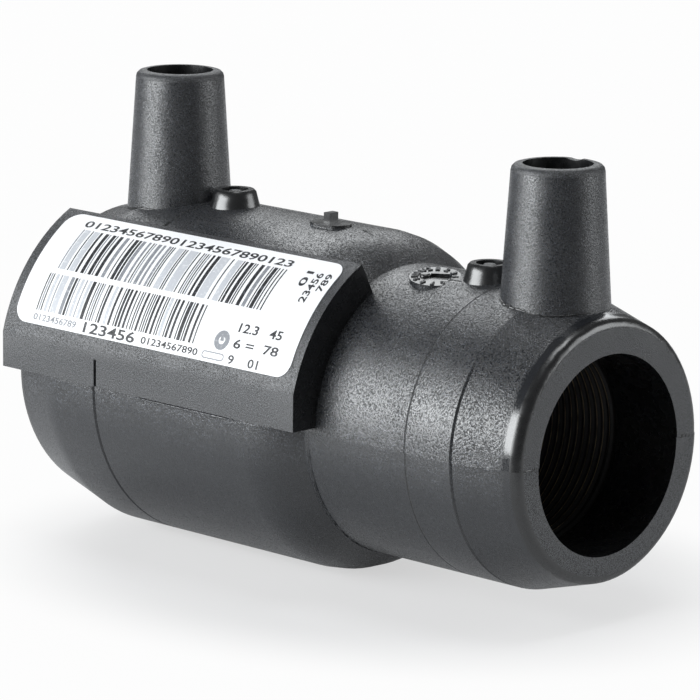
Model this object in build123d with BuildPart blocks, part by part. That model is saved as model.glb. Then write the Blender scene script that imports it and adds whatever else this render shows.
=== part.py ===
from build123d import *
import math
import os

# Reducing electrofusion coupler, 32 mm to 25 mm pipe. Millimetres.
# +X runs along the pipe axis out of the 25 mm socket, +Z up through the terminal shrouds.
# The origin is on the axis at the pipe stop of the 25 mm socket.

# Sockets
BORE_25_R = 12.75
BORE_32_R = 16.25
DEPTH_25 = 40.4
DEPTH_32 = 44.0
STOP_WIDTH = 3.4
STOP_R = 10.3
MOUTH_25_X = DEPTH_25
STOP_32_X = -STOP_WIDTH
MOUTH_32_X = STOP_32_X - DEPTH_32

# Outside of the moulding, turned about an axis a little above the bores
OUTER_RISE = 0.4
WALL_25 = 6.1
WALL_32 = 6.05
OUTER_25_R = BORE_25_R + WALL_25
OUTER_32_R = BORE_32_R + WALL_32
NOSE_LENGTH_25 = 9.1
NOSE_LENGTH_32 = 10.0
NOSE_25_X = MOUTH_25_X - NOSE_LENGTH_25
NOSE_32_X = MOUTH_32_X + NOSE_LENGTH_32
NOSE_25_R = OUTER_25_R - 2.05
NOSE_32_R = OUTER_32_R - 2.35
END_ROUND = 1.2
SHOULDER_START_X = -2.2
SHOULDER_ROUND = 10.0
SHOULDER_ANGLE = 38.0
SHOULDER_FOOT_X = 5.8
SHOULDER_FOOT_WIDTH = 0.6
SHOULDER_STEPS = 3
LINE_WIDTH = 0.5
LINE_DEPTH = 0.3
LINE_SPACING = 7.8
LINE_32_X = NOSE_32_X + LINE_SPACING
HALF_SHIFT = (-0.1, 0.2)

# Terminal shrouds and their pins
SHROUD_25_INSET = 9.4
SHROUD_32_INSET = 10.4
SHROUD_25_X = MOUTH_25_X - SHROUD_25_INSET
SHROUD_32_X = MOUTH_32_X + SHROUD_32_INSET
SHROUD_HEIGHT = 16.5
SHROUD_32_EXTRA = 0.7
SHROUD_25_TOP = OUTER_25_R + SHROUD_HEIGHT
SHROUD_32_TOP = OUTER_32_R + SHROUD_HEIGHT + SHROUD_32_EXTRA
SHROUD_TOP_R = 5.87
SHROUD_DRAFT = 3.5
SHROUD_RIM_ROUND = 0.9
SHROUD_HOLE_R = 4.4
SHROUD_HOLE_DEPTH = 12.4
NICK_R = 2.2
NICK_DEPTH = 0.3
NICK_DIRECTION = 105.0
PIN_R = 2.0
PIN_RECESS = 3.2
PIN_SHANK_R = 2.5
PIN_FOOT_COVER = 2.75

# Winding, laid flush in the bores, and its wire
COIL_THICKNESS = 1.0
COLD_ZONE_25 = 10.0
COLD_ZONE_32 = 10.8
COIL_25_START = MOUTH_25_X - COLD_ZONE_25
COIL_32_START = MOUTH_32_X + COLD_ZONE_32
COIL_25_LENGTH = 21.8
COIL_32_LENGTH = 24.0
WIRE_R = 0.4
WIRE_SIDES = 6
LEAD_INSET = 0.8

# Fusion indicators
WELL_25_SPACING = 11.2
WELL_32_SPACING = 10.7
WELL_25_X = SHROUD_25_X - WELL_25_SPACING
WELL_32_X = SHROUD_32_X + WELL_32_SPACING
WELL_TOP_R = 2.8
WELL_DRAFT = 14.0
WELL_HEIGHT = 2.1
WELL_ROOT = 1.9
WELL_COUNTERBORE_R = 1.75
WELL_COUNTERBORE_DEPTH = 1.9
INDICATOR_R = 0.85
INDICATOR_CLEARANCE = 0.1
INDICATOR_BELOW_RIM = 0.15
INDICATOR_COVER = 1.15

# Label pad and film
PAD_R = OUTER_32_R + 1.2
PAD_TOP_ANGLE = 27.5
PAD_SKIRT_Y = PAD_R - 0.7
PAD_BOTTOM_Z = 1.0
PAD_INSET = 0.6
PAD_LENGTH = 54.8
PAD_START_X = MOUTH_32_X + PAD_INSET
PAD_END_X = PAD_START_X + PAD_LENGTH
PAD_NOTCH_INSET = 18.1
PAD_NOTCH_X = PAD_START_X + PAD_NOTCH_INSET
PAD_NOTCH_WIDTH = 0.5
PAD_NOTCH_TOP = 4.6
FILM = 0.1
FILM_INSET = 1.7
FILM_LENGTH = 51.6
FILM_MIDDLE_X = PAD_START_X + FILM_INSET + FILM_LENGTH / 2
FILM_FROM_ANGLE = 29.5
FILM_TO_ANGLE = 71.5
FILM_CORNER = 2.2

# Gate remnant and date disc, both a little to the label side of the top
GATE_PLACE = (-7.2, -1.2)
GATE_PLATE = (6.0, 3.8)
GATE_PLATE_TOP = OUTER_32_R + 0.7
GATE_PEG = (1.05, 1.6)
GATE_PEG_HEIGHT = 1.35
DATE_X = 13.6
DATE_ANGLE = 10.3
DATE_R = 3.3
DATE_PROUD = 0.2
DATE_SLOT = (2.7, 1.1)
DATE_SLOT_DEPTH = 0.35
DATE_SLOT_OFFSET = 0.7
DATE_TURN = 36.0


def groove(x, radius):
    """Points of a small circumferential V groove centred at x in a cylinder."""
    return [(x - LINE_WIDTH / 2, radius), (x, radius - LINE_DEPTH), (x + LINE_WIDTH / 2, radius)]


def rounded(corner_x, corner_y, size, from_angle, steps=3):
    """Points of a quarter round of the given size inside a square outer corner, in a few steps.

    The arc starts at from_angle, in degrees, and turns clockwise.
    """
    middle_angle = math.radians(from_angle - 45)
    centre_x = corner_x - size * math.copysign(1, math.cos(middle_angle))
    centre_y = corner_y - size * math.copysign(1, math.sin(middle_angle))
    turns = [math.radians(from_angle - 90 * step / steps) for step in range(steps + 1)]
    return [(centre_x + size * math.cos(turn), centre_y + size * math.sin(turn)) for turn in turns]


def outer_half(start_angle):
    """Half a turn of the moulding's outside, as a solid about its own axis."""
    angle = math.radians(SHOULDER_ANGLE)
    turns = [angle * (step + 1) / SHOULDER_STEPS for step in range(SHOULDER_STEPS)]
    shoulder = [
        (
            SHOULDER_START_X + SHOULDER_ROUND * math.sin(turn),
            OUTER_32_R - SHOULDER_ROUND * (1 - math.cos(turn)),
        )
        for turn in turns
    ]
    round_end = shoulder[-1]
    foot_r = round_end[1] - (SHOULDER_FOOT_X - round_end[0]) * math.tan(angle)
    outline = [(MOUTH_32_X, 0)]
    outline += rounded(MOUTH_32_X, NOSE_32_R, END_ROUND, 180)
    outline += [(NOSE_32_X, OUTER_32_R)]
    outline += groove(LINE_32_X, OUTER_32_R)
    outline += [(SHOULDER_START_X, OUTER_32_R), *shoulder]
    outline += [(SHOULDER_FOOT_X, foot_r), (SHOULDER_FOOT_X + SHOULDER_FOOT_WIDTH, OUTER_25_R)]
    outline += groove(NOSE_25_X, OUTER_25_R)
    outline += rounded(MOUTH_25_X, NOSE_25_R, END_ROUND, 90)
    outline += [(MOUTH_25_X, 0)]
    with BuildPart() as half:
        with BuildSketch(Plane.XY):
            with BuildLine():
                Polyline(*outline, close=True)
            make_face()
        revolve(axis=Axis.X, revolution_arc=180)
    return half.part.rotate(Axis.X, start_angle).moved(Location((0, 0, OUTER_RISE)))


def upright(x, profile):
    """A turned solid standing on the line x, from (radius, z) points on its axis and back."""
    with BuildPart() as turned:
        with BuildSketch(Plane.XZ):
            with BuildLine():
                Polyline(*profile, close=True)
            make_face()
        revolve(axis=Axis.Z)
    return turned.part.moved(Location((x, 0, 0)))


def tapered(x, top_r, draft, bottom_z, top_z, rounding, steps=3):
    """A tapered post with a rounded top edge."""
    base_r = top_r + (top_z - bottom_z) * math.tan(math.radians(draft))
    edge = rounded(top_r, top_z, rounding, 90, steps)
    return upright(x, [(0, bottom_z), (0, top_z), *edge, (base_r, bottom_z)])


def tube(x_from, x_to, outer_r, inner_r):
    """A tube along the pipe axis."""
    with BuildPart() as made:
        with BuildSketch(Plane.YZ.offset(x_from)):
            Circle(outer_r)
            if inner_r:
                Circle(inner_r, mode=Mode.SUBTRACT)
        extrude(amount=x_to - x_from)
    return made.part


def terminal_pin(x, foot_z, shroud_top):
    """Contact pin of 4 mm on a thicker shank that is held in the wall."""
    top = shroud_top - PIN_RECESS
    floor = shroud_top - SHROUD_HOLE_DEPTH
    return upright(
        x,
        [
            (0, foot_z),
            (PIN_SHANK_R, foot_z),
            (PIN_SHANK_R, floor),
            (PIN_R, floor),
            (PIN_R, top - 0.5),
            (PIN_R - 0.5, top),
            (0, top),
        ],
    )


def indicator_pin(x, foot_z, rim_z):
    """Plain indicator pin with a chamfered head."""
    top = rim_z - INDICATOR_BELOW_RIM
    return upright(
        x,
        [
            (0, foot_z),
            (INDICATOR_R, foot_z),
            (INDICATOR_R, top - 0.2),
            (INDICATOR_R - 0.2, top),
            (0, top),
        ],
    )


def indicator_hole(x, foot_z, rim_z):
    """The guide hole of an indicator pin and the wider recess at its rim."""
    guide_r = INDICATOR_R + INDICATOR_CLEARANCE
    step = rim_z - WELL_COUNTERBORE_DEPTH
    return upright(
        x,
        [
            (0, foot_z),
            (guide_r, foot_z),
            (guide_r, step),
            (WELL_COUNTERBORE_R, step),
            (WELL_COUNTERBORE_R, rim_z + 1),
            (0, rim_z + 1),
        ],
    )


def lead_wire(x, coil_outer_r, foot_z):
    """Straight lead from the outside of the winding up to the terminal's foot."""
    with BuildPart() as lead:
        with BuildSketch(Plane.XY.offset(coil_outer_r - 1)):
            with Locations((x, 0)):
                RegularPolygon(WIRE_R, WIRE_SIDES)
        extrude(amount=foot_z - coil_outer_r + 1)
        add(tube(x - 2, x + 2, coil_outer_r, 0), mode=Mode.SUBTRACT)
    return lead.part


def label_pad():
    """Thick curved plate that carries the label, ending in an upright skirt at the side."""
    angle = math.radians(PAD_TOP_ANGLE)
    top = (-PAD_R * math.sin(angle), PAD_R * math.cos(angle))
    skirt_z = math.sqrt(PAD_R**2 - PAD_SKIRT_Y**2)
    middle_angle = (angle + math.acos(skirt_z / PAD_R)) / 2
    inner = 0.62
    with BuildPart() as pad:
        with BuildSketch(Plane.YZ.offset(PAD_START_X)):
            with BuildLine():
                ThreePointArc(
                    top,
                    (-PAD_R * math.sin(middle_angle), PAD_R * math.cos(middle_angle)),
                    (-PAD_SKIRT_Y, skirt_z),
                )
                Polyline(
                    (-PAD_SKIRT_Y, skirt_z),
                    (-PAD_SKIRT_Y, PAD_BOTTOM_Z),
                    (-PAD_R * inner, PAD_BOTTOM_Z),
                    (top[0] * inner, top[1] * inner),
                    top,
                )
            make_face()
        extrude(amount=PAD_END_X - PAD_START_X)
        with Locations((PAD_NOTCH_X, -PAD_SKIRT_Y, PAD_BOTTOM_Z)):
            Box(PAD_NOTCH_WIDTH, 0.8, 2 * (PAD_NOTCH_TOP - PAD_BOTTOM_Z), mode=Mode.SUBTRACT)
    return pad.part


def label_film():
    """Rounded rectangle of film wrapped on the pad."""
    middle = (FILM_FROM_ANGLE + FILM_TO_ANGLE) / 2
    half_height = PAD_R * math.sin(math.radians((FILM_TO_ANGLE - FILM_FROM_ANGLE) / 2))
    normal = (0, -math.sin(math.radians(middle)), math.cos(math.radians(middle)))
    with BuildPart() as film:
        add(tube(FILM_MIDDLE_X - FILM_LENGTH, FILM_MIDDLE_X + FILM_LENGTH, PAD_R + FILM, PAD_R))
        with BuildSketch(Plane(origin=(FILM_MIDDLE_X, 0, 0), x_dir=(1, 0, 0), z_dir=normal)):
            RectangleRounded(FILM_LENGTH, 2 * half_height, FILM_CORNER)
        extrude(amount=PAD_R + 1, mode=Mode.INTERSECT)
    return film.part


def bridge_wire():
    """Wire in the wall that carries the current from one winding to the other."""
    r_25 = BORE_25_R + COIL_THICKNESS / 2
    r_32 = BORE_32_R + COIL_THICKNESS / 2
    start = COIL_25_START - COIL_25_LENGTH
    end = COIL_32_START + COIL_32_LENGTH
    with BuildPart() as wire:
        with BuildLine(Plane.XZ) as path:
            Polyline((start, -r_25), (start - 1.5, -r_25), (STOP_32_X + 1.2, -r_32), (end, -r_32))
        with BuildSketch(Plane(origin=(start, 0, -r_25), z_dir=(-1, 0, 0))):
            RegularPolygon(WIRE_R, WIRE_SIDES)
        sweep(path=path.line, transition=Transition.RIGHT)
    return wire.part


# Pieces set into the moulding
coil_25_end = COIL_25_START - COIL_25_LENGTH
coil_32_end = COIL_32_START + COIL_32_LENGTH
coil_25_r = BORE_25_R + COIL_THICKNESS
coil_32_r = BORE_32_R + COIL_THICKNESS
coil_25 = tube(coil_25_end, COIL_25_START, coil_25_r, BORE_25_R)
coil_32 = tube(COIL_32_START, coil_32_end, coil_32_r, BORE_32_R)
bridge = bridge_wire()
foot_25_z = coil_25_r + PIN_FOOT_COVER
foot_32_z = coil_32_r + PIN_FOOT_COVER
lead_25 = lead_wire(COIL_25_START - LEAD_INSET, coil_25_r, foot_25_z)
lead_32 = lead_wire(COIL_32_START + LEAD_INSET, coil_32_r, foot_32_z)
pin_25 = terminal_pin(SHROUD_25_X, foot_25_z, SHROUD_25_TOP)
pin_32 = terminal_pin(SHROUD_32_X, foot_32_z, SHROUD_32_TOP)
rim_25 = OUTER_RISE + OUTER_25_R + WELL_HEIGHT
rim_32 = OUTER_RISE + OUTER_32_R + WELL_HEIGHT
seat_25_z = coil_25_r + INDICATOR_COVER
seat_32_z = coil_32_r + INDICATOR_COVER
indicator_25 = indicator_pin(WELL_25_X, seat_25_z, rim_25)
indicator_32 = indicator_pin(WELL_32_X, seat_32_z, rim_32)
film = label_film()

# The moulding
with BuildPart() as body:
    add(outer_half(0))
    add(outer_half(180).moved(Location((HALF_SHIFT[0], HALF_SHIFT[1], 0))))
    add(label_pad())
    for x, top in ((SHROUD_25_X, SHROUD_25_TOP), (SHROUD_32_X, SHROUD_32_TOP)):
        add(tapered(x, SHROUD_TOP_R, SHROUD_DRAFT, BORE_25_R + 2, top, SHROUD_RIM_ROUND))
    add(tapered(WELL_25_X, WELL_TOP_R, WELL_DRAFT, rim_25 - WELL_HEIGHT - WELL_ROOT, rim_25, 0.3, 1))
    add(tapered(WELL_32_X, WELL_TOP_R, WELL_DRAFT, rim_32 - WELL_HEIGHT - WELL_ROOT, rim_32, 0.3, 1))

    # Gate remnant: a thin plate with a square peg
    with BuildSketch(Plane.XY.offset(OUTER_32_R - 1)):
        with Locations(GATE_PLACE):
            RectangleRounded(*GATE_PLATE, GATE_PLATE[1] / 2 - 0.1)
    extrude(amount=GATE_PLATE_TOP - OUTER_32_R + 1)
    with BuildSketch(Plane.XY.offset(GATE_PLATE_TOP - 0.2)):
        with Locations(GATE_PLACE):
            Rectangle(*GATE_PEG)
    extrude(amount=GATE_PEG_HEIGHT + 0.2)

    # Date disc with the slot of its pointer
    date_lean = math.radians(DATE_ANGLE)
    date_plane = Plane(
        origin=(DATE_X, -OUTER_25_R * math.sin(date_lean), OUTER_RISE + OUTER_25_R * math.cos(date_lean)),
        x_dir=(1, 0, 0),
        z_dir=(0, -math.sin(date_lean), math.cos(date_lean)),
    ).rotated((0, 0, DATE_TURN))
    with BuildSketch(date_plane.offset(-1)):
        Circle(DATE_R)
    extrude(amount=1 + DATE_PROUD)
    with BuildSketch(date_plane.offset(DATE_PROUD)):
        with Locations((DATE_SLOT_OFFSET, 0)):
            Rectangle(*DATE_SLOT)
    extrude(amount=-DATE_SLOT_DEPTH, mode=Mode.SUBTRACT)

    # Bores and stop
    add(tube(0, MOUTH_25_X + 1, BORE_25_R, 0), mode=Mode.SUBTRACT)
    add(tube(STOP_32_X, MOUTH_32_X - 1, BORE_32_R, 0), mode=Mode.SUBTRACT)
    add(tube(-STOP_WIDTH - 1, 1, STOP_R, 0), mode=Mode.SUBTRACT)
    add(tube(coil_25_end, COIL_25_START, coil_25_r, 0), mode=Mode.SUBTRACT)
    add(tube(COIL_32_START, coil_32_end, coil_32_r, 0), mode=Mode.SUBTRACT)

    # Shroud wells
    for x, top in ((SHROUD_25_X, SHROUD_25_TOP), (SHROUD_32_X, SHROUD_32_TOP)):
        with Locations((x, 0, top - SHROUD_HOLE_DEPTH)):
            Cylinder(
                SHROUD_HOLE_R,
                SHROUD_HOLE_DEPTH + 1,
                align=(Align.CENTER, Align.CENTER, Align.MIN),
                mode=Mode.SUBTRACT,
            )
    with Locations(Location((SHROUD_25_X, 0, SHROUD_25_TOP), (0, 0, NICK_DIRECTION))):
        with Locations(((SHROUD_HOLE_R + SHROUD_TOP_R) / 2, 0, NICK_R - NICK_DEPTH)):
            Cylinder(NICK_R, 3, rotation=(0, 90, 0), mode=Mode.SUBTRACT)

    # Seats of the pieces in the wall
    for seated in (bridge, lead_25, lead_32, pin_25, pin_32):
        add(seated, mode=Mode.SUBTRACT)
    add(indicator_hole(WELL_25_X, seat_25_z, rim_25), mode=Mode.SUBTRACT)
    add(indicator_hole(WELL_32_X, seat_32_z, rim_32), mode=Mode.SUBTRACT)

parts = {
    "body": body.part,
    "heating_coil_25": coil_25,
    "heating_coil_32": coil_32,
    "bridge_wire": bridge,
    "lead_wire_25": lead_25,
    "lead_wire_32": lead_32,
    "terminal_pin_25": pin_25,
    "terminal_pin_32": pin_32,
    "indicator_pin_25": indicator_25,
    "indicator_pin_32": indicator_32,
    "label_film": film,
}

os.makedirs("parts", exist_ok=True)
for name, shape in parts.items():
    shape.label = name
    export_step(shape, f"parts/{name}.step")
    print(name, len(shape.solids()), round(shape.volume, 1), shape.is_valid)
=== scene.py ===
import math

import bmesh
import bpy
import numpy as np
from mathutils import Matrix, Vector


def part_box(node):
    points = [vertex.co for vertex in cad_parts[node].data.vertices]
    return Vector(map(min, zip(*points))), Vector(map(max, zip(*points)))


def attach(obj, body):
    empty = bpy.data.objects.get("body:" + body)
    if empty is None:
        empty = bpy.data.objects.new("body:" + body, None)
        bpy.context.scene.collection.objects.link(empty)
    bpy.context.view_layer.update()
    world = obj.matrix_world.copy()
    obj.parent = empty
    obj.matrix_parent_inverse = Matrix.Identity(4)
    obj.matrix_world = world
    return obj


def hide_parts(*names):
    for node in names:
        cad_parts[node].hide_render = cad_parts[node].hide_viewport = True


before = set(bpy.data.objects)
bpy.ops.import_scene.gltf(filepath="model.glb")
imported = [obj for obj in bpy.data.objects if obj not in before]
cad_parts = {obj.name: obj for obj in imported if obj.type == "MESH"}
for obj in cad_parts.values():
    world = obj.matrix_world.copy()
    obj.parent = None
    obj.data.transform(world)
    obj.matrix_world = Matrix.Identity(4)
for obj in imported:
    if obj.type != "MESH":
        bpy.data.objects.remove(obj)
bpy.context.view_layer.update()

MM = 0.001

# Places read from the frame, in metres
coil_25_low, coil_25_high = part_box("heating_coil_25")
coil_32_low, coil_32_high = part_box("heating_coil_32")
pin_25_low, pin_25_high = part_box("terminal_pin_25")
pin_32_low, pin_32_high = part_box("terminal_pin_32")
rod_25_low, rod_25_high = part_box("indicator_pin_25")
rod_32_low, rod_32_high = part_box("indicator_pin_32")
film_low, film_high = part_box("label_film")
body_low, body_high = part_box("body")

# The moulding's sizes that the boxes don't give: sockets, noses and shoulder
LENGTH = 87.8 * MM
COIL_WALL = 1.0 * MM
WALL_25, WALL_32 = 6.1 * MM, 6.05 * MM
NOSE_25_LENGTH, NOSE_32_LENGTH = 9.1 * MM, 10.0 * MM
NOSE_25_DROP, NOSE_32_DROP = 2.05 * MM, 2.35 * MM
END_ROUND = 1.2 * MM
OUTER_RISE = 0.4 * MM
SHOULDER_X = -2.2 * MM
FOOT_X = 6.4 * MM
GROOVE_DEPTH = 0.3 * MM

COIL_25_R = coil_25_high.z
COIL_32_R = coil_32_high.z
BORE_25_R = COIL_25_R - COIL_WALL
BORE_32_R = COIL_32_R - COIL_WALL
MOUTH_25_X = body_high.x
MOUTH_32_X = MOUTH_25_X - LENGTH
OUTER_25_R = BORE_25_R + WALL_25
OUTER_32_R = BORE_32_R + WALL_32
NOSE_25_X = MOUTH_25_X - NOSE_25_LENGTH
NOSE_32_X = MOUTH_32_X + NOSE_32_LENGTH
NOSE_25_R = OUTER_25_R - NOSE_25_DROP
NOSE_32_R = OUTER_32_R - NOSE_32_DROP
FACE_25_R = NOSE_25_R - END_ROUND

# Terminal shrouds and indicator wells
PIN_RECESS = 3.2 * MM
CONTACT_R = 2.0 * MM
SHROUD_TOP_R = 5.87 * MM
SHROUD_DRAFT = math.radians(3.5)
SHROUD_HOLE_R = 4.4 * MM
SHROUD_HOLE_DEPTH = 12.4 * MM
RIM_ROUND = 0.9 * MM
WELL_FOOT_R = 3.6 * MM
SHROUD_25_X = (pin_25_low.x + pin_25_high.x) / 2
SHROUD_32_X = (pin_32_low.x + pin_32_high.x) / 2
SHROUD_25_TOP = pin_25_high.z + PIN_RECESS
SHROUD_32_TOP = pin_32_high.z + PIN_RECESS
WELL_25_X = (rod_25_low.x + rod_25_high.x) / 2
WELL_32_X = (rod_32_low.x + rod_32_high.x) / 2

# Label pad and its film
PAD_R = OUTER_32_R + 1.2 * MM
PAD_START_X = MOUTH_32_X + 0.6 * MM
PAD_END_X = PAD_START_X + 54.8 * MM
PAD_SIDE_Y = -9 * MM
FILM = 0.1 * MM
FILM_LENGTH = film_high.x - film_low.x
FILM_FROM = math.radians(29.5)
FILM_TO = math.radians(71.5)
FILM_HEIGHT = (PAD_R + FILM) * (FILM_TO - FILM_FROM)
FILM_CORNER = 2.2 * MM
INK_LIFT = FILM + 0.015 * MM
INK_FOOT = FILM - 0.005 * MM
PRINT_WEIGHT = 0.018

# Gate remnant, date disc and the pointer's slot in it
GATE_X, GATE_Y, GATE_REACH = -7.2 * MM, -1.2 * MM, 4 * MM
DIAL_X = 13.6 * MM
DIAL_LEAN = math.radians(10.3)
DIAL_TURN = math.radians(36)
DIAL_R = 3.3 * MM
DIAL_PROUD = 0.2 * MM
SLOT_OFFSET = 0.7 * MM
SLOT_STRETCH = 1.8

# Details that only show on the surface: a turned line, the grain's fade and the wire's turns
LINE_X = MOUTH_25_X - 16.9 * MM
FADE_DEPTH = 6 * MM
PLAIN_END = 2.0 * MM
WIRE_PITCH = 1.09 * MM
WIRE_SEAT = 0.02 * MM

# Edges of the mesh stay crisp above this many degrees, and above the larger one on coarse rings
CREASE = 35.0
RING_CREASE = 80.0

# Settings that many shader nodes share
COLOURS = {"data_type": "RGBA"}
SMOOTH_STEP = {"interpolation_type": "SMOOTHSTEP"}
MULTIPLY = {"operation": "MULTIPLY"}
MULTIPLY_ADD = {"operation": "MULTIPLY_ADD"}
LARGER = {"operation": "MAXIMUM"}

# Finishes of the moulding, by their place among its materials
GRAINED, MATT, POLISHED, FADING, SATIN = range(5)


# ---------------------------------------------------------------- meshes


def placed(name, data):
    """A new object of the scene, at the origin, that holds the data."""
    made = bpy.data.objects.new(name, data)
    bpy.context.scene.collection.objects.link(made)
    return made


def read(items, attribute):
    """An (n, 3) array of one attribute of a mesh's vertices or faces."""
    values = np.zeros(3 * len(items))
    items.foreach_get(attribute, values)
    return values.reshape(-1, 3)


def mesh_piece(name, points, faces, finish, smooth=True):
    """An object at the origin from an (n, 3) array of points and lists of point numbers."""
    mesh = bpy.data.meshes.new(name)
    mesh.from_pydata(points, [], faces)
    mesh.polygons.foreach_set("use_smooth", np.full(len(mesh.polygons), smooth))
    mesh.materials.append(finish)
    mesh.update()
    return placed(name, mesh)


def grid_faces(rows, columns, wrap_rows=False, wrap_columns=False):
    """Quads of a rows by columns grid of points, joined to its start where it wraps."""
    i = np.arange(rows if wrap_rows else rows - 1)[:, None]
    j = np.arange(columns if wrap_columns else columns - 1)[None, :]
    below = (i + 1) % rows
    right = (j + 1) % columns
    corners = (i * columns + j, below * columns + j, below * columns + right, i * columns + right)
    return np.stack([np.broadcast_to(c, (i.size, j.size)) for c in corners], -1).reshape(-1, 4)


def slab(outer, inner):
    """Points and quads of a closed sheet: two grids of one shape and the rim between them."""
    rows, columns = outer.shape[:2]
    points = np.concatenate([outer.reshape(-1, 3), inner.reshape(-1, 3)])
    face = grid_faces(rows, columns)
    number = np.arange(rows * columns).reshape(rows, columns)
    edge = np.concatenate([number[0, :-1], number[:-1, -1], number[-1, :0:-1], number[:0:-1, 0]])
    after = np.roll(edge, -1)
    far = rows * columns
    rim = np.stack([edge, after, after + far, edge + far], -1)
    return points, np.concatenate([face, face[:, ::-1] + far, rim]).tolist()


def joined(parts):
    """One set of points and faces from several."""
    points, faces, count = [], [], 0
    for part_points, part_faces in parts:
        points.append(part_points)
        faces += [[number + count for number in face] for face in part_faces]
        count += len(part_points)
    return np.concatenate(points), faces


def facing_out(piece, crease=CREASE):
    """Merges doubles, turns the faces outwards and keeps edges sharper than the crease crisp."""
    work = bmesh.new()
    work.from_mesh(piece.data)
    bmesh.ops.remove_doubles(work, verts=work.verts, dist=1e-7)
    bmesh.ops.recalc_face_normals(work, faces=work.faces)
    for edge in work.edges:
        edge.smooth = edge.calc_face_angle(0) < math.radians(crease)
    work.to_mesh(piece.data)
    work.free()
    return piece


def turned(profile, count):
    """A solid turned about the vertical through the origin, with count points to a ring.

    Each (radius, height) of the profile makes a ring: the cosine and the sine of the turn, times the
    radius.
    """
    radius, height = np.array(profile).T
    turn = np.linspace(0, 2 * np.pi, count, endpoint=False)
    ring = np.stack([np.cos(turn), np.sin(turn)], -1)
    level = np.broadcast_to(height[:, None, None], (len(height), count, 1))
    points = np.concatenate([radius[:, None, None] * ring[None], level], -1)
    return points.reshape(-1, 3), grid_faces(len(height), count, wrap_columns=True).tolist()


def flat_text(text, weight):
    """Outlines of plain numerals, thickened by the weight: points in a unit square, and faces."""
    curve = bpy.data.curves.new("numerals", "FONT")
    curve.body = text
    curve.resolution_u = 3
    curve.offset = weight
    curve.fill_mode = "FRONT"
    holder = placed("numerals", curve)
    bpy.context.view_layer.update()
    graph = bpy.context.evaluated_depsgraph_get()
    mesh = bpy.data.meshes.new_from_object(holder.evaluated_get(graph))
    bpy.data.objects.remove(holder)
    flat = read(mesh.vertices, "co")[:, :2]
    faces = [list(polygon.vertices) for polygon in mesh.polygons]
    bpy.data.meshes.remove(mesh)
    return (flat - flat.min(0)) / (flat.max(0) - flat.min(0)), faces


# ---------------------------------------------------------------- materials


def linear(hex_colour):
    """An sRGB hex colour as the linear RGBA that a shader takes."""
    channels = np.array([int(hex_colour[i:i + 2], 16) for i in (1, 3, 5)]) / 255
    low = channels / 12.92
    high = ((channels + 0.055) / 1.055) ** 2.4
    return (*np.where(channels <= 0.04045, low, high), 1.0)


def add(tree, kind, settings=None, links=None):
    """Adds one node. Settings are its properties or its inputs' values.

    A link takes a socket, or a node, which gives its first output in use.
    """
    node = tree.nodes.new("ShaderNode" + kind)
    for key, value in (settings or {}).items():
        if isinstance(key, str) and hasattr(node, key):
            setattr(node, key, value)
        else:
            node.inputs[key].default_value = value
    for key, source in (links or {}).items():
        outputs = getattr(source, "outputs", [source])
        tree.links.new(next(socket for socket in outputs if socket.enabled), node.inputs[key])
    return node


def material(name):
    """An empty node material and its tree."""
    made = bpy.data.materials.new(name)
    made.use_nodes = True
    made.node_tree.nodes.clear()
    return made, made.node_tree


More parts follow.
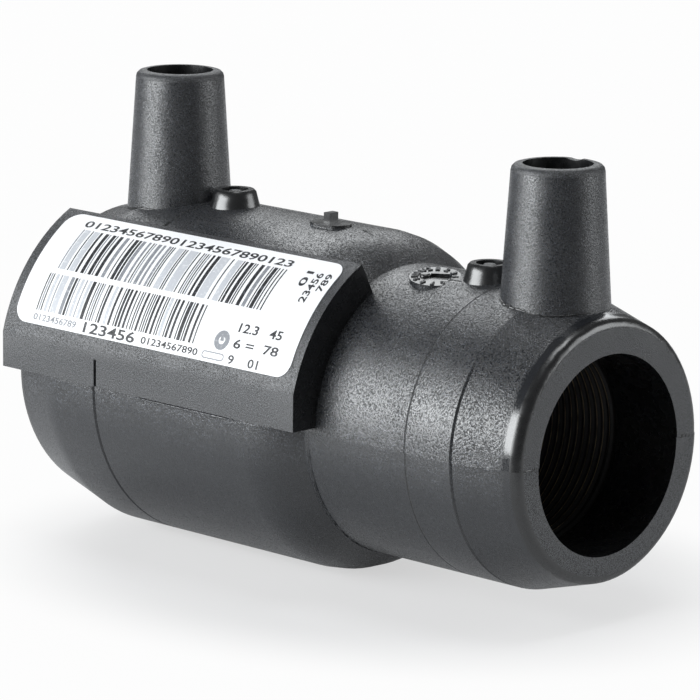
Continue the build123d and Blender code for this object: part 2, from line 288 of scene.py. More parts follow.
def moulded_polyethylene(name, pebble, relief, gloss, contrast=1.0, fade_to=1.0, plain_end=False):
    """Black PE 100 as it leaves an eroded steel mould.

    Carbon black makes it nearly black in itself. The eroded steel leaves a pebbled grain: its crests
    are smooth, so they glisten under a lamp, and its pits are rough. Its colour holds painted light:
    the pits are painted near-black as painted shade, and pale flecks on the highest grit are painted
    glints. Below the parting plane the grain, with its painted shade and glints, may fade to a share
    of its strength, and it may stop short of the small mouth. A fine turned line rings the small
    socket, painted near-black with the pits as painted shade in its groove.
    """
    made, tree = material(name)
    place = add(tree, "TexCoord").outputs["Object"]
    axes = add(tree, "SeparateXYZ", links={"Vector": place}).outputs
    coarse = {"Scale": 1 / pebble, "Detail": 2.0, "Roughness": 0.6}
    fine = {"Scale": 2 / pebble, "Detail": 1.0, "Roughness": 0.5}
    pebbles = add(tree, "TexNoise", coarse, {"Vector": place})
    grit = add(tree, "TexNoise", fine, {"Vector": place})
    grain = add(tree, "Math", {**MULTIPLY_ADD, 1: 0.5}, {0: grit, 2: pebbles})
    # How strong the grain is: uneven over patches of 5 mm, and weaker where it fades
    patches = add(tree, "TexNoise", {"Scale": 1 / (5.0 * MM), "Detail": 2.0}, {"Vector": place})
    uneven = {"From Min": 0.3, "From Max": 0.7, "To Min": 0.75, "To Max": 1.15}
    strength = add(tree, "MapRange", uneven, {"Value": patches})
    below = {"From Min": -FADE_DEPTH, "From Max": OUTER_RISE, "To Min": fade_to, "To Max": 1.0}
    fade = add(tree, "MapRange", below, {"Value": axes["Z"]})
    strength = add(tree, "Math", MULTIPLY, {0: strength, 1: fade})
    if plain_end:
        plain_x = MOUTH_25_X - PLAIN_END
        ending = {"From Min": plain_x - 0.6 * MM, "From Max": plain_x, "To Min": 1.0, "To Max": 0.1}
        end = add(tree, "MapRange", ending, {"Value": axes["X"]})
        strength = add(tree, "Math", MULTIPLY, {0: strength, 1: end})
    # The turned line, 0.3 mm wide, cut into the grain
    beside = add(tree, "Math", {"operation": "SUBTRACT", 1: LINE_X}, {0: axes["X"]})
    beside = add(tree, "Math", {"operation": "ABSOLUTE"}, {0: beside})
    line_edges = {**SMOOTH_STEP, "From Min": 0.16 * MM, "From Max": 0.05 * MM}
    line = add(tree, "MapRange", line_edges, {"Value": beside})
    height = add(tree, "Math", MULTIPLY, {0: grain, 1: strength})
    height = add(tree, "Math", {**MULTIPLY_ADD, 1: -2.0}, {0: line, 2: height})
    bump = add(tree, "Bump", {"Strength": 1.0, "Distance": relief}, {"Height": height})
    # Pits: rough, painted near-black as painted shade. Crests: smooth, with pale flecks as painted
    # glints
    pit_and_shade_edges = {**SMOOTH_STEP, "From Min": 0.78, "From Max": 0.6, "To Max": contrast}
    pit_and_shade = add(tree, "MapRange", pit_and_shade_edges, {"Value": grain})
    pit_and_shade = add(tree, "Math", {**MULTIPLY, "use_clamp": True}, {0: pit_and_shade, 1: strength})
    # The turned line joins the pits, so it is painted near-black too: painted shade in its groove
    pit_and_shade = add(tree, "Math", LARGER, {0: pit_and_shade, 1: line})
    skin = add(tree, "MapRange", {"To Min": gloss, "To Max": 0.8}, {"Value": pit_and_shade})
    # Painted shade: the pits take the near-black, the crests the plainer tone
    base = {**COLOURS, "A": linear("#1d1f23"), "B": linear("#040405")}
    tone = add(tree, "Mix", base, {"Factor": pit_and_shade})
    # Pale flecks on the highest grit: painted glints on the crests
    glint_fleck_edges = {**SMOOTH_STEP, "From Min": 0.57, "From Max": 0.68, "To Max": 0.7}
    glint_fleck = add(tree, "MapRange", glint_fleck_edges, {"Value": grit})
    glint_fleck = add(tree, "Math", MULTIPLY, {0: glint_fleck, 1: strength})
    tone = add(tree, "Mix", {**COLOURS, "B": linear("#7b7f86")}, {"Factor": glint_fleck, "A": tone})
    look = {"Base Color": tone, "Roughness": skin, "Normal": bump}
    shader = add(tree, "BsdfPrincipled", {"IOR": 1.51, "Specular IOR Level": 1.0}, look)
    add(tree, "OutputMaterial", links={"Surface": shader})
    return made


def polished_polyethylene():
    """The same PE from polished inserts: deep black with a clear, slightly wavy gloss."""
    made, tree = material("black_polyethylene_polished")
    place = add(tree, "TexCoord").outputs["Object"]
    waves = add(tree, "TexNoise", {"Scale": 1 / (1.6 * MM), "Detail": 2.0}, {"Vector": place})
    bump = add(tree, "Bump", {"Strength": 1.0, "Distance": 0.03 * MM}, {"Height": waves})
    wavy = {"From Min": 0.3, "From Max": 0.7, "To Min": 0.22, "To Max": 0.32}
    gloss = add(tree, "MapRange", wavy, {"Value": waves})
    base = {**COLOURS, "A": linear("#121314"), "B": linear("#17181a")}
    tone = add(tree, "Mix", base, {"Factor": waves})
    look = {"Base Color": tone, "Roughness": gloss, "Normal": bump}
    shader = add(tree, "BsdfPrincipled", {"IOR": 1.51, "Specular IOR Level": 1.0}, look)
    add(tree, "OutputMaterial", links={"Surface": shader})
    return made


def polypropylene_film():
    """White polypropylene label film: bright and satin, with the faint waves of hand sticking."""
    made, tree = material("white_polypropylene_film")
    place = add(tree, "TexCoord").outputs["Object"]
    waves = add(tree, "TexNoise", {"Scale": 1 / (7.0 * MM), "Detail": 1.0}, {"Vector": place})
    bump = add(tree, "Bump", {"Strength": 0.5, "Distance": 0.03 * MM}, {"Height": waves})
    base = {**COLOURS, "A": linear("#f4f5f8"), "B": linear("#fafafb")}
    tone = add(tree, "Mix", base, {"Factor": waves})
    satin_film = {"IOR": 1.49, "Roughness": 0.4}
    shader = add(tree, "BsdfPrincipled", satin_film, {"Base Color": tone, "Normal": bump})
    add(tree, "OutputMaterial", links={"Surface": shader})
    return made


def transfer_ink(name, dark, light):
    """Thermal transfer ink: matt, with paler specks of about 0.4 mm where it took thinly."""
    made, tree = material(name)
    place = add(tree, "TexCoord").outputs["Object"]
    specks = add(tree, "TexNoise", {"Scale": 1 / (0.4 * MM), "Detail": 2.0}, {"Vector": place})
    thin_edges = {**SMOOTH_STEP, "From Min": 0.52, "From Max": 0.75}
    thin = add(tree, "MapRange", thin_edges, {"Value": specks})
    tone = add(tree, "Mix", {**COLOURS, "A": linear(dark), "B": linear(light)}, {"Factor": thin})
    shader = add(tree, "BsdfPrincipled", {"IOR": 1.5, "Roughness": 0.5}, {"Base Color": tone})
    add(tree, "OutputMaterial", links={"Surface": shader})
    return made


def coated_wire():
    """Copper-nickel wire in its PE coat, laid side by side in black PE.

    A thin pale brown line runs along the crest of each turn, broken in patches.
    """
    made, tree = material("coated_resistance_wire")
    place = add(tree, "TexCoord").outputs["Object"]
    crest = add(tree, "Attribute", {"attribute_name": "crest"}).outputs["Fac"]
    patchy = add(tree, "TexNoise", {"Scale": 1 / (3.0 * MM), "Detail": 3.0}, {"Vector": place})
    line_edges = {**SMOOTH_STEP, "From Min": 0.93, "From Max": 0.995}
    line = add(tree, "MapRange", line_edges, {"Value": crest})
    line_patch_edges = {**SMOOTH_STEP, "From Min": 0.3, "From Max": 0.65, "To Min": 0.25}
    line_patches = add(tree, "MapRange", line_patch_edges, {"Value": patchy})
    shown = add(tree, "Math", MULTIPLY, {0: line, 1: line_patches})
    base = {**COLOURS, "A": linear("#020202"), "B": linear("#b3a184")}
    tone = add(tree, "Mix", base, {"Factor": shown})
    shader = add(tree, "BsdfPrincipled", {"IOR": 1.51, "Roughness": 0.6}, {"Base Color": tone})
    add(tree, "OutputMaterial", links={"Surface": shader})
    return made


def drawn_metal(name, bright, dull, line_width, polish):
    """A drawn or turned metal: fine lines across its length, duller and rougher between them."""
    made, tree = material(name)
    place = add(tree, "TexCoord").outputs["Object"]
    squeezed = add(tree, "Mapping", {"Scale": (1.0, 1.0, 8.0)}, {"Vector": place})
    lines = add(tree, "TexNoise", {"Scale": 1 / line_width, "Detail": 3.0}, {"Vector": squeezed})
    patchy = {"From Min": 0.3, "From Max": 0.7, "To Min": polish + 0.16, "To Max": polish}
    gloss = add(tree, "MapRange", patchy, {"Value": lines})
    bump = add(tree, "Bump", {"Strength": 0.2, "Distance": 0.01 * MM}, {"Height": lines})
    tone = add(tree, "Mix", {**COLOURS, "A": linear(dull), "B": linear(bright)}, {"Factor": lines})
    look = {"Base Color": tone, "Roughness": gloss, "Normal": bump}
    shader = add(tree, "BsdfPrincipled", {"Metallic": 1.0}, look)
    add(tree, "OutputMaterial", links={"Surface": shader})
    return made


# Sockets above the parting plane: coarse grain that glistens
grained = moulded_polyethylene(
    "black_polyethylene_spark_eroded", 0.27 * MM, 0.055 * MM, 0.13, plain_end=True
)
# Sockets below it: the same grain, dulled, soon worn smooth
fading = moulded_polyethylene(
    "black_polyethylene_lower_mould", 0.27 * MM, 0.055 * MM, 0.26, fade_to=0.2, plain_end=True
)
# Label pad, shroud rims and end faces: fine and dull
matt = moulded_polyethylene("black_polyethylene_fine_eroded", 0.2 * MM, 0.05 * MM, 0.4)
# Shrouds: fine grain with a soft upright highlight
satin = moulded_polyethylene(
    "black_polyethylene_satin_core", 0.2 * MM, 0.035 * MM, 0.15, contrast=0.9
)
# Rounds, wells, bores, date disc and gate plate: clear gloss
polished = polished_polyethylene()
film_white = polypropylene_film()
# Three strengths of print: full, worn grey and nearly missing
black_ink = transfer_ink("black_transfer_ink", "#1b1c20", "#55575d")
grey_ink = transfer_ink("grey_transfer_ink", "#85888e", "#b0b3b8")
pale_ink = transfer_ink("pale_transfer_ink", "#c3c6cc", "#dcdee2")
wire_in_coat = coated_wire()
# Contact pins: pale warm metal; hidden wires: coppery
tinned_brass = drawn_metal("tinned_brass", "#d9d2c2", "#a89a80", 0.3 * MM, 0.2)
bare_wire = drawn_metal("copper_nickel_wire", "#c79a72", "#8f6a4c", 0.1 * MM, 0.25)


# ---------------------------------------------------------------- the moulding


def dial_axes():
    """Middle of the date disc's face, its two directions and its upright.

    The upright leans towards the label's side, and all three are turned about the vertical.
    """
    sine, cosine = math.sin(DIAL_LEAN), math.cos(DIAL_LEAN)
    lean = np.array([sine * math.sin(DIAL_TURN), -sine * math.cos(DIAL_TURN), cosine])
    first = np.array([math.cos(DIAL_TURN), math.sin(DIAL_TURN), 0])
    foot = np.array([DIAL_X, -OUTER_25_R * sine, OUTER_RISE + OUTER_25_R * cosine])
    return foot + DIAL_PROUD * lean, first, np.cross(lean, first), lean


def outer_radius(x):
    """Radius of the moulding's outside at x: straight lines between ends, noses and shoulder."""
    places = [MOUTH_32_X, NOSE_32_X, SHOULDER_X, FOOT_X, NOSE_25_X, MOUTH_25_X]
    radii = [NOSE_32_R, OUTER_32_R, OUTER_32_R, OUTER_25_R, OUTER_25_R, NOSE_25_R]
    return np.interp(x, places, radii)


def finish_of_faces(centre, normal):
    """Finish of each face, by the part of the mould that shaped it.

    It follows from the face's middle and direction, and a later rule overrides an earlier one.
    """
    x, y, z = centre.T
    from_axis = np.hypot(y, z - OUTER_RISE)
    outward = (normal[:, 1] * y + normal[:, 2] * (z - OUTER_RISE)) / np.maximum(from_axis, MM)
    finish = np.where(z < OUTER_RISE, FADING, GRAINED)
    # Label pad and its skirt, with a smooth end
    along_pad = (x > PAD_START_X - MM) & (x < PAD_END_X + MM)
    finish[along_pad & (from_axis > OUTER_32_R + 0.25 * MM) & (y < PAD_SIDE_Y)] = MATT
    finish[(np.abs(x - PAD_END_X) < 0.02 * MM) & (normal[:, 0] > 0.9)] = POLISHED
    # Rounds of the ends, end faces, then bores and stop
    from_end = np.minimum(np.abs(x - MOUTH_25_X), np.abs(x - MOUTH_32_X))
    finish[from_end < 1.5 * MM] = POLISHED
    finish[(from_end < 0.2 * MM) & (np.abs(normal[:, 0]) > 0.99)] = MATT
    bore_r = np.where(x > -MM, COIL_25_R, COIL_32_R) + 0.1 * MM
    finish[(from_axis < bore_r) & ((outward < -0.5) | (from_end > 2 * MM))] = POLISHED
    # Shrouds with their rims and holes
    for shroud_x, top in ((SHROUD_25_X, SHROUD_25_TOP), (SHROUD_32_X, SHROUD_32_TOP)):
        away = np.hypot(x - shroud_x, y)
        finish[(away < 8 * MM) & (z > 0) & (from_axis > outer_radius(x) + 0.2 * MM)] = SATIN
        finish[(away < SHROUD_TOP_R + MM) & (z > top - RIM_ROUND * 1.05)] = MATT
        in_hole = (away < SHROUD_HOLE_R + 0.05 * MM) & (z > top - SHROUD_HOLE_DEPTH - 0.6 * MM)
        finish[in_hole] = POLISHED
    # Indicator wells and gate remnant
    for well_x, outer in ((WELL_25_X, OUTER_25_R), (WELL_32_X, OUTER_32_R)):
        finish[(np.hypot(x - well_x, y) < WELL_FOOT_R) & (z > outer + 0.3 * MM)] = POLISHED
    by_gate = np.hypot(x - GATE_X, y - GATE_Y) < GATE_REACH
    finish[by_gate & (z > OUTER_32_R + 0.45 * MM)] = POLISHED
    # Date disc
    middle, _, _, lean = dial_axes()
    on_disc = np.linalg.norm(centre - middle, axis=1) < DIAL_R + 0.1 * MM
    finish[on_disc & (np.abs(normal @ lean) > 0.99)] = POLISHED
    return finish


def eased(points):
    """The moulding's points with two small details eased.

    The valley of the small socket's groove rises to the surface from 62 to 42 degrees from upright, by
    a smooth step of the angle, and the date disc's slot is stretched across.
    """
    x, y, z = points.T
    z = z - OUTER_RISE
    from_axis = np.hypot(y, z)
    valley_r = OUTER_25_R - GROOVE_DEPTH
    valley = (np.abs(x - NOSE_25_X) < 0.05 * MM) & (np.abs(from_axis - valley_r) < 0.05 * MM)
    share = np.clip((62 - np.degrees(np.abs(np.arctan2(y, z)))) / (62 - 42), 0, 1)
    scale = 1 + valley * (3 - 2 * share) * share**2 * GROOVE_DEPTH / from_axis
    points = np.stack([x, y * scale, z * scale + OUTER_RISE], -1)
    middle, first, second, lean = dial_axes()
    along, across, up = np.stack([first, second, lean]) @ (points - middle).T
    slot = (np.abs(along - SLOT_OFFSET) < 1.4 * MM) & (np.abs(across) < 0.6 * MM)
    slot &= np.abs(up) < 0.5 * MM
    return points + (slot * across * (SLOT_STRETCH - 1))[:, None] * second


def moulding():
    """The body of the frame with its triangles merged, smooth over the steps of its rounds."""
    work = bmesh.new()
    work.from_mesh(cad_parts["body"].data)
    bmesh.ops.remove_doubles(work, verts=work.verts, dist=2e-6)
    for face in work.faces:
        face.smooth = True
    for edge in work.edges:
        edge.smooth = edge.calc_face_angle(0) < math.radians(CREASE)
    mesh = bpy.data.meshes.new("moulding")
    work.to_mesh(mesh)
    work.free()
    for finish in (grained, matt, polished, fading, satin):
        mesh.materials.append(finish)
    mesh.vertices.foreach_set("co", eased(read(mesh.vertices, "co")).ravel())
    mesh.update()
    zones = finish_of_faces(read(mesh.polygons, "center"), read(mesh.polygons, "normal"))
    mesh.polygons.foreach_set("material_index", zones.astype(np.int32))
    piece = placed("moulding", mesh)
    weighted = piece.modifiers.new("even_shading", "WEIGHTED_NORMAL")
    weighted.keep_sharp = True
    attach(piece, "fitting")
    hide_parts("body")


moulding()


# ---------------------------------------------------------------- traces of the mould


def bead(name, path, out, thickness, finish, seed):
    """A thin uneven bead of flash along a path of points.

    Each section is a ring round its point: the cosine of the turn across the path and the sine of it
    outwards, times the thickness, which swells by chance and narrows to nothing at both ends.
    """
    rng = np.random.default_rng(seed)
    count, around = len(path), 8
    share = np.linspace(0, 1, count)
    swell = np.convolve(rng.uniform(0.2, 1.0, count + 8), np.ones(3) / 3, "same")[4:-4]
    radius = thickness * swell * np.sin(np.pi * share) ** 0.35
    radius[[0, -1]] = 1e-7
    ahead = np.gradient(path, axis=0)
    ahead /= np.linalg.norm(ahead, axis=1)[:, None]
    out = out - (out * ahead).sum(1)[:, None] * ahead
    out /= np.linalg.norm(out, axis=1)[:, None]
    side = np.cross(ahead, out)
    turn = np.linspace(0, 2 * np.pi, around, endpoint=False)
    ring = np.cos(turn)[None, :, None] * side[:, None] + np.sin(turn)[None, :, None] * out[:, None]
    points = path[:, None] + radius[:, None, None] * ring
    faces = grid_faces(count, around, wrap_columns=True).tolist()
    last = (count - 1) * around
    faces += [list(range(around)), list(range(last + around - 1, last - 1, -1))]
    piece = mesh_piece(name, points.reshape(-1, 3), faces, finish)
    facing_out(piece, RING_CREASE)
    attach(piece, "fitting")


def shroud_foot(x, top, from_turn, to_turn):
    """The line where a shroud's cone meets the socket, and the way outwards from it.

    A point at each turn round the shroud, at the cone's radius there and at the socket's height: the
    root of its radius squared less the sideways distance squared.
    """
    turn = np.radians(np.linspace(from_turn, to_turn, 48))
    radius = SHROUD_TOP_R + (top - outer_radius(x)) * math.tan(SHROUD_DRAFT) + 0.05 * MM
    along, y = x + radius * np.cos(turn), radius * np.sin(turn)
    path = np.stack([along, y, OUTER_RISE + np.sqrt(outer_radius(along) ** 2 - y**2)], -1)
    return path, np.stack([np.cos(turn), np.sin(turn), np.ones_like(turn)], -1)


def along_axis(x_from, x_to, angle, radius):
    """A straight line on the moulding, at an angle from upright towards the label's side."""
    x = np.linspace(x_from, x_to, 90)
    out = np.array([0, -math.sin(math.radians(angle)), math.cos(math.radians(angle))])
    path = np.array([0, 0, OUTER_RISE]) + radius * out
    return path + x[:, None] * np.array([1.0, 0, 0]), np.broadcast_to(out, (len(x), 3))


def shoulder_foot(from_turn, to_turn):
    """The line where the shoulder meets the small socket, between two angles from upright."""
    turn = np.radians(np.linspace(from_turn, to_turn, 120))
    out = np.stack([np.zeros_like(turn), -np.sin(turn), np.cos(turn)], -1)
    path = np.array([FOOT_X, 0, OUTER_RISE]) + (OUTER_25_R - 0.02 * MM) * out
    return path, out


def across_face(angle):
    """A line over the small end face, from the bore to the outside, at an angle from upright."""
    radius = np.linspace(BORE_25_R + 0.1 * MM, FACE_25_R, 40)
    x = np.full_like(radius, MOUTH_25_X - 0.1 * MM)
    y = -radius * math.sin(math.radians(angle))
    z = radius * math.cos(math.radians(angle))
    path = np.stack([x, y, z + OUTER_RISE], -1)
    return path, np.broadcast_to([1.0, 0, 0], path.shape)


# Lips and seams at the shrouds' feet, between two turns about each shroud
foot_25 = (SHROUD_25_X, SHROUD_25_TOP)
foot_32 = (SHROUD_32_X, SHROUD_32_TOP)
bead("shroud_lip_25", *shroud_foot(*foot_25, 222, 282), 0.34 * MM, polished, 1)
bead("shroud_seam_25", *shroud_foot(*foot_25, 270, 372), 0.14 * MM, polished, 2)
bead("shroud_lip_32", *shroud_foot(*foot_32, 225, 290), 0.26 * MM, polished, 3)
# The parting line: on top, under the pad's skirt, down the shoulder's foot and across the end face
bead("top_seam", *along_axis(-3.9 * MM, 0.5 * MM, 2.0, OUTER_32_R), 0.14 * MM, polished, 4)
skirt_r = OUTER_32_R + 0.1 * MM
bead("skirt_flash", *along_axis(-22 * MM, -3 * MM, 89.3, skirt_r), 0.3 * MM, grained, 5)
bead("shoulder_seam", *shoulder_foot(91, 168), 0.13 * MM, grained, 8)
bead("face_seam_left", *across_face(90), 0.3 * MM, polished, 6)
bead("face_seam_right", *across_face(-90), 0.3 * MM, polished, 7)


# ---------------------------------------------------------------- windings


def winding_sleeve(name, low, high, bore_r, node):
    """A tube in the recess between two corners of a box, whose inner wall shows the wire's turns.

    The inner radius is the bore's, less a rounded crest that runs round as a helix. The crest is half
    of one plus the cosine of a phase, to the power 0.8, and the phase is the turn plus a full turn for
    each pitch along the axis.
    """
    around, per_turn = 144, 10
    x_from, x_to, back_r = low.x + WIRE_SEAT, high.x - WIRE_SEAT, high.z - WIRE_SEAT
    turns = int(round((x_to - x_from) / WIRE_PITCH))
    along = np.linspace(x_from, x_to, turns * per_turn + 1)
    turn = np.linspace(0, 2 * np.pi, around, endpoint=False)
    phase = 2 * np.pi * (along[:, None] - x_from) / WIRE_PITCH + turn[None, :]
    ends = np.clip(np.minimum(along - x_from, x_to - along) / WIRE_PITCH, 0, 1)[:, None]
    crest = (0.5 + 0.5 * np.cos(phase)) ** 0.8 * ends
    radius = bore_r + 0.12 * MM - 0.32 * MM * crest
    radius[[0, -1]] = bore_r
    # One more ring at each end closes the tube's back
    back = np.full((1, around), back_r)
    radius = np.concatenate([back, radius, back])
    level = np.concatenate([along[:1], along, along[-1:]])
    level = np.broadcast_to(level[:, None], radius.shape)
    points = np.stack([level, radius * np.cos(turn), radius * np.sin(turn)], -1)
    faces = grid_faces(len(points), around, wrap_rows=True, wrap_columns=True)
    sleeve = mesh_piece(name, points.reshape(-1, 3), faces.tolist(), wire_in_coat)
    shown = sleeve.data.attributes.new("crest", "FLOAT", "POINT")
    shown.data.foreach_set("value", np.pad(crest, ((1, 1), (0, 0))).astype(np.float32).ravel())
    facing_out(sleeve, RING_CREASE)
    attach(sleeve, "fitting")
    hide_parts(node)


winding_sleeve("winding_25", coil_25_low, coil_25_high, BORE_25_R, "heating_coil_25")
winding_sleeve("winding_32", coil_32_low, coil_32_high, BORE_32_R, "heating_coil_32")


# ---------------------------------------------------------------- pins


def rounded_top(radius, foot, top, rounding):
    """Profile of a rod with a domed edge at its top, from the axis at its foot to the axis at its top.

    The edge is a quarter circle in six steps: its cosine goes to the radius and its sine to the height.
    """
    turn = np.linspace(0, np.pi / 2, 7)
    reach = radius - rounding + rounding * np.cos(turn)
    height = top - rounding + rounding * np.sin(turn)
    return [(0, foot), (radius, foot), *np.stack([reach, height], -1).tolist(), (0, top)]


def standing(name, x, profile, finish, body_name, node, count=96):
    """A turned piece on the vertical at x that stands for a CAD node."""
    points, faces = turned(profile, count)
    piece = facing_out(mesh_piece(name, points + np.array([x, 0, 0]), faces, finish))
    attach(piece, body_name)
    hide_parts(node)


def contact_pin(name, low, high, shroud_top, node):
    """Turned contact pin with a rounded tip on its thicker shank."""
    shank_r = (high.x - low.x) / 2
    floor = shroud_top - SHROUD_HOLE_DEPTH
    tip = rounded_top(CONTACT_R, floor, high.z, 0.7 * MM)[1:]
    profile = [(0, low.z), (shank_r, low.z), (shank_r, floor), *tip]
    standing(name, (low.x + high.x) / 2, profile, tinned_brass, "fitting", node)


def fusion_indicator(name, low, high, body_name, node):
    """Fusion indicator: a plain PE rod with a softly rounded head."""
    profile = rounded_top((high.x - low.x) / 2, low.z, high.z, 0.25 * MM)
    standing(name, (low.x + high.x) / 2, profile, matt, body_name, node, 64)


contact_pin("contact_pin_25", pin_25_low, pin_25_high, SHROUD_25_TOP, "terminal_pin_25")
contact_pin("contact_pin_32", pin_32_low, pin_32_high, SHROUD_32_TOP, "terminal_pin_32")
fusion_indicator("fusion_indicator_25", rod_25_low, rod_25_high, "indicator_25", "indicator_pin_25")
fusion_indicator("fusion_indicator_32", rod_32_low, rod_32_high, "indicator_32", "indicator_pin_32")

for name in ("bridge_wire", "lead_wire_25", "lead_wire_32"):
    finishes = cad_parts[name].data.materials
    finishes.clear()
    finishes.append(bare_wire)


# ---------------------------------------------------------------- date dial


def on_dial(right, up, height):
    """Points over the date disc: its middle plus a distance along each direction and its upright."""
    middle, first, second, lean = dial_axes()
    return middle + right[:, None] * first + up[:, None] * second + height[:, None] * lean


def dial_marks():
    """Raised numerals round the disc, each turned to stand upright from its middle.

    A numeral's points are shrunk to its width and height, moved out to the ring of numerals, and
    turned about the middle by the cosine and the sine of its place round the disc.
    """
    width, tall, ring_r = 0.55 * MM, 0.95 * MM, 2.55 * MM
    parts = []
    for place in range(12):
        numeral = str(place + 1)
        flat, faces = flat_text(numeral, 0.03)
        right = (flat[:, 0] - 0.5) * width * len(numeral)
        up = (flat[:, 1] - 0.5) * tall + ring_r
        turn = -math.radians(30 * place)
        across = right * math.cos(turn) - up * math.sin(turn)
        along = right * math.sin(turn) + up * math.cos(turn)
        parts.append((on_dial(across, along, np.full(len(flat), 0.14 * MM)), faces))
    piece = mesh_piece("date_dial_marks", *joined(parts), matt, smooth=False)
    solid = piece.modifiers.new("raised", "SOLIDIFY")
    solid.thickness = 0.15 * MM
    solid.offset = -1.0
    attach(piece, "fitting")


def dial_hub():
    """The domed hub that the date pointer turns on."""
    points, faces = turned(rounded_top(0.7 * MM, -0.05 * MM, 0.36 * MM, 0.34 * MM), 48)
    points = on_dial(points[:, 0] - 1.3 * MM, points[:, 1], points[:, 2])
    piece = facing_out(mesh_piece("date_dial_hub", points, faces, polished))
    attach(piece, "fitting")


dial_hub()
dial_marks()


# ---------------------------------------------------------------- label


def on_pad(s, t, lift):
    """Points on the pad's curve, s along the film from its far end, t down from its top edge.

    The angle from upright is the film's first angle plus t over the radius.
    """
    radius = PAD_R + lift
    angle = FILM_FROM + t / (PAD_R + FILM)
    return np.stack([film_low.x + s, -radius * np.sin(angle), radius * np.cos(angle)], -1)


def film_sheet():
    """The film as a rounded rectangle wrapped on the pad.

    Each column across the film runs between two edges, drawn in at the ends by the corner's circle.
    """
    corner = FILM_CORNER * (1 - np.cos(np.linspace(0, np.pi / 2, 12)))
    middle = np.linspace(FILM_CORNER, FILM_LENGTH - FILM_CORNER, 40)[1:-1]
    s = np.concatenate([corner, middle, FILM_LENGTH - corner[::-1]])
    near_end = np.maximum(FILM_CORNER - np.minimum(s, FILM_LENGTH - s), 0)
    inset = FILM_CORNER - np.sqrt(np.maximum(FILM_CORNER**2 - near_end**2, 0))
    across = np.linspace(0, 1, 33)[None, :]
    t = inset[:, None] + (FILM_HEIGHT - 2 * inset[:, None]) * across
    s = np.broadcast_to(s[:, None], t.shape)
    points, faces = slab(on_pad(s, t, FILM), on_pad(s, t, 0.0))
    film = facing_out(mesh_piece("label_sheet", points, faces, film_white))
    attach(film, "fitting")
    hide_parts("label_film")


def field(s_from, s_to, t_from, t_to):
    """A thin inked field of the label, from its four sides in millimetres."""
    sides, down = np.array([s_from, s_to]) * MM, np.linspace(t_from, t_to, 12) * MM
    s, t = np.meshgrid(sides, down, indexing="ij")
    return slab(on_pad(s, t, INK_LIFT), on_pad(s, t, INK_FOOT))


def ring_mark(s, t, radius, width, half_length=0.0):
    """A ring, drawn out to a rounded slot by half_length, or a full disc where width is the radius.

    Each point is the middle, plus the half length towards its side, plus the radius times the cosine
    and the sine of the turn.
    """
    turn = np.linspace(0, 2 * np.pi, 49)[None, :]
    reach = np.array([radius, radius - width])[:, None]
    end = half_length * np.sign(np.round(np.cos(turn), 6))
    along = (s + end + reach * np.cos(turn)) * MM
    down = (t + reach * np.sin(turn)) * MM
    return slab(on_pad(along, down, INK_LIFT), on_pad(along, down, INK_FOOT))


def bars(rng, s_from, s_to, t_from, t_to, module):
    """Bars of three strengths of ink with gaps between, drawn by chance: they hold no code.

    The ink is thinner towards the far end, so more of the bars there come out grey or pale.
    """
    made = {"black": [], "grey": [], "pale": []}
    s = s_from
    while s < s_to:
        width = module * rng.choice([1, 1, 1, 2, 2, 3])
        gap = module * rng.choice([1, 1, 2, 2, 3])
        thinness = 1 - (s - s_from) / (s_to - s_from)
        draw = rng.random()
        tone = "pale" if draw < 0.16 * thinness else "grey" if draw < 0.5 * thinness else "black"
        width = 2.5 * width if tone == "pale" else width
        made[tone].append(field(s, min(s + width, s_to), t_from, t_to))
        s += width + gap
    return made


def row(text, s_from, s_to, t_base, height):
    """Plain numerals along the label, in millimetres."""
    flat, faces = flat_text(text, PRINT_WEIGHT)
    s = s_from + flat[:, 0] * (s_to - s_from)
    t = t_base - flat[:, 1] * height
    return on_pad(s * MM, t * MM, INK_LIFT), faces


def column(text, s_from, t_base, length, height):
    """Plain numerals that read up the label, their tops towards its far end."""
    flat, faces = flat_text(text, PRINT_WEIGHT)
    s = s_from + (1 - flat[:, 1]) * height
    t = t_base - flat[:, 0] * length
    return on_pad(s * MM, t * MM, INK_LIFT), faces


def print_piece(name, parts, finish):
    """Ink on the label as a piece that rides with the fitting."""
    points, faces = joined(parts)
    piece = mesh_piece(name, points, faces, finish, smooth=False)
    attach(piece, "fitting")


def label_print():
    """Bars, plain numerals and two simple marks, laid out over the film in millimetres."""
    rng = np.random.default_rng(11)
    long_bars = bars(rng, 4.5, 42.9, 2.7, 9.3, 0.2)
    short_bars = bars(rng, 3.7, 34.1, 10.1, 15.4, 0.2)
    numerals = [
        row("012345678901234567890123", 3.9, 43.0, 2.25, 1.25),
        row("123456", 13.4, 23.2, 17.05, 1.45),
        row("01234567890", 24.4, 35.0, 16.85, 0.95),
        row("12.3   45", 40.8, 48.5, 12.75, 1.25),
        row("6 =  78", 40.8, 48.8, 14.9, 1.25),
        row("9    01", 40.6, 46.0, 17.0, 1.2),
        column("01", 46.2, 4.8, 2.6, 1.2),
        column("23456", 48.0, 7.1, 4.9, 1.2),
        column("789", 49.7, 5.1, 3.0, 1.1),
    ]
    marks = [
        row("0123456789", 3.6, 11.9, 16.75, 0.9),
        ring_mark(38.6, 14.2, 1.3, 0.75),
        field(38.3, 38.9, 13.5, 14.3),
        ring_mark(37.8, 16.4, 0.5, 0.16, 1.5),
    ]
    print_piece("label_black", long_bars["black"] + short_bars["black"] + numerals, black_ink)
    print_piece("label_grey", long_bars["grey"] + short_bars["grey"] + marks, grey_ink)
    print_piece("label_pale", long_bars["pale"] + short_bars["pale"], pale_ink)


film_sheet()
label_print()


# ---------------------------------------------------------------- stage


def seen_share(tree):
    """How much of the plain white backdrop a ray sees: all of it directly, little in a gloss."""
    paths = add(tree, "LightPath").outputs
    gloss = add(tree, "Math", {**MULTIPLY, 1: 0.08}, {0: paths["Is Glossy Ray"]})
    glass = add(tree, "Math", LARGER, {0: gloss, 1: paths["Is Transmission Ray"]})
    return add(tree, "Math", LARGER, {0: glass, 1: paths["Is Camera Ray"]})


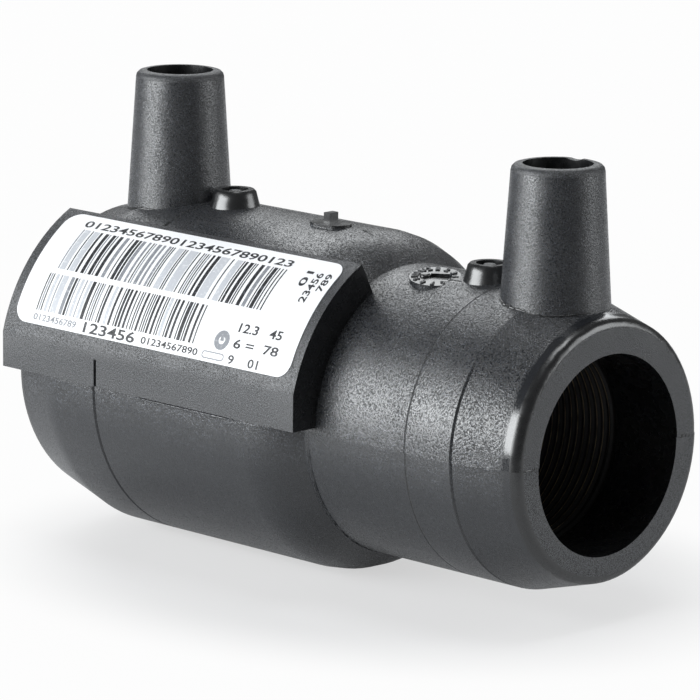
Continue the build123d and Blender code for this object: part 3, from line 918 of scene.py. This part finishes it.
def studio_floor():
    """A plain white floor that keeps the soft shadow and runs into white away from the fitting.

    It ends 125 mm in front, so the fitting's front mirrors the darker room beyond it.
    """
    made, tree = material("studio_white")
    place = add(tree, "TexCoord").outputs["Object"]
    place = add(tree, "VectorMath", {**MULTIPLY, 1: (0.8, 1, 0)}, {0: place})
    away = add(tree, "VectorMath", {"operation": "LENGTH"}, {0: place})
    edges = {**SMOOTH_STEP, "From Min": 0.028, "From Max": 0.05, "To Min": 0.58, "To Max": 0.97}
    fade = add(tree, "MapRange", edges, {"Value": away})
    share = add(tree, "Math", MULTIPLY, {0: seen_share(tree), 1: fade})
    paint = add(tree, "BsdfDiffuse", {"Color": linear("#ececed")})
    glow = add(tree, "Emission", {"Color": linear("#fefefe"), "Strength": 1.0})
    mixed = add(tree, "MixShader", links={0: share, 1: paint, 2: glow})
    add(tree, "OutputMaterial", links={"Surface": mixed})
    # Its sides run along and across the view, at 45 degrees to the pipe's axis
    across = np.array([1, 1, 0]) * math.sqrt(0.5)
    ahead = np.array([-1, 1, 0]) * math.sqrt(0.5)
    base = np.array([0, 0, body_low.z - 0.05 * MM])
    corners = ((-0.4, -0.125), (0.4, -0.125), (0.4, 0.6), (-0.4, 0.6))
    points = [base + side * across + depth * ahead for side, depth in corners]
    mesh_piece("floor", points, [(0, 1, 2, 3)], made, smooth=False)


def aim(holder, right, up, back, place):
    """Puts a lamp or camera at its place, its own axes pointing right, up and back."""
    turn = Matrix(np.stack([right, up, back], -1).tolist()).to_4x4()
    turn.translation = place
    holder.matrix_world = turn


def lamp(name, place, size, power):
    """A soft rectangular lamp that faces the fitting, its light faintly cool."""
    data = bpy.data.lights.new(name, "AREA")
    data.shape = "RECTANGLE"
    data.size, data.size_y = size
    data.energy = power
    data.color = (0.96, 0.985, 1.0)
    away = np.array(place, float)
    away /= np.linalg.norm(away)
    side = np.cross((0, 0, 1), away)
    side /= np.linalg.norm(side)
    aim(placed(name, data), side, np.cross(away, side), away, place)


def surround():
    """A dim even surround that fills the shadows, seen directly as plain white."""
    made = bpy.data.worlds.new("surround")
    made.use_nodes = True
    tree = made.node_tree
    tree.nodes.clear()
    light = add(tree, "Background", {"Color": linear("#f4f6f8"), "Strength": 0.07})
    seen = add(tree, "Background", {"Color": (1, 1, 1, 1), "Strength": 1.0})
    mixed = add(tree, "MixShader", links={0: seen_share(tree), 1: light, 2: seen})
    add(tree, "OutputWorld", links={"Surface": mixed})
    bpy.context.scene.world = made


def camera():
    """A long lens from the front right, a little above the fitting.

    It looks level along the azimuth, then down by the elevation, and is rolled about its own view.
    """
    azimuth, elevation, roll = (math.radians(v) for v in (44.65, 11.76, 0.62))
    right = np.array([math.cos(azimuth), math.sin(azimuth), 0])
    level = math.cos(elevation)
    ahead = np.array([-math.sin(azimuth) * level, math.cos(azimuth) * level, -math.sin(elevation)])
    up = np.cross(right, ahead)
    rolled_right = math.cos(roll) * right + math.sin(roll) * up
    rolled_up = math.cos(roll) * up - math.sin(roll) * right
    data = bpy.data.cameras.new("camera")
    data.sensor_width = 36
    data.lens = 239.65
    data.shift_x = -0.0069
    data.shift_y = 0.0077
    data.clip_start = 0.05
    holder = placed("camera", data)
    aim(holder, rolled_right, rolled_up, -ahead, (0.41112, -0.42002, 0.12873))
    bpy.context.scene.camera = holder


studio_floor()
surround()
lamp("soft_box_left", (-0.43, -0.89, 0.27), (0.95, 0.58), 14.5)
lamp("soft_box_right", (0.72, 0.66, 0.30), (0.6, 0.6), 3.8)
lamp("soft_box_behind", (-0.67, 0.60, 0.66), (1.0, 0.5), 5.0)
lamp("overhead", (0.1, 0.0, 0.95), (0.35, 0.3), 1.6)
camera()
bpy.context.scene.view_settings.view_transform = "Standard"
